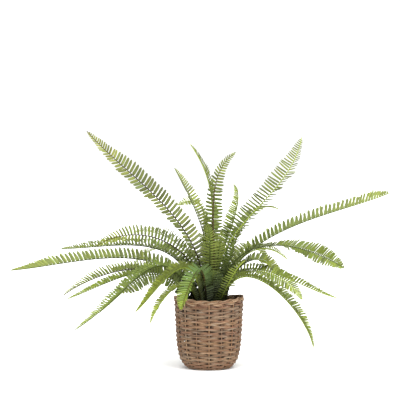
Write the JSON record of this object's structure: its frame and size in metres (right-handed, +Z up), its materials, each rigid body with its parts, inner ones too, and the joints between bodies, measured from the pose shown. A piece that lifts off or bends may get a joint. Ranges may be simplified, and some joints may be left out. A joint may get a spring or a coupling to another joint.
{
  "type": "potted fern",
  "caption": "Sword fern with arching, tapering fronds of narrow leaflets, growing in soil in a plastic pot inside a round woven wicker basket.",
  "frame": {"origin": "middle of the basket's foot, on the surface that it stands on", "axes": "+Z up; +X to the right as the picture shows the plant, the way the fronds spread widest; +Y away from the viewer"},
  "size_m": [0.852, 0.59, 0.535],
  "materials": {
    "wicker": "matte",
    "pot_plastic": "matte",
    "soil": "matte",
    "leaf": "satin"
  },
  "bodies": {
    "root": {"basket_side": "wicker", "basket_border": "wicker", "basket_base": "wicker", "growers_pot": "pot_plastic", "soil": "soil", "frond_upper_left": "leaf", "frond_left_high_back": "leaf", "frond_left_arch": "leaf", "frond_left_back_short": "leaf", "frond_left_long": "leaf", "frond_left_mid": "leaf", "frond_left_mid_low": "leaf", "frond_left_low": "leaf", "frond_left_low_back": "leaf", "frond_front_left": "leaf", "frond_front_left_narrow": "leaf", "frond_front_leaf": "leaf", "frond_right_drooping": "leaf", "frond_right_low": "leaf", "frond_right_arch": "leaf", "frond_right_far": "leaf", "frond_right_broad": "leaf", "frond_right_back_short": "leaf", "frond_right_long": "leaf", "frond_upper_right": "leaf", "frond_top_curl": "leaf", "frond_top_middle": "leaf", "frond_top_left_tall": "leaf", "frond_top_left": "leaf", "frond_back_left": "leaf", "frond_back_right": "leaf", "frond_back_middle": "leaf", "frond_back_low_right": "leaf", "frond_back_low_left": "leaf", "frond_front_young": "leaf", "frond_front_young_right": "leaf", "frond_crown_left_front": "leaf", "frond_crown_left": "leaf", "frond_crown_centre": "leaf", "frond_crown_centre_right": "leaf", "frond_crown_right": "leaf", "frond_crown_right_inner": "leaf"}
  },
  "joints": []
}
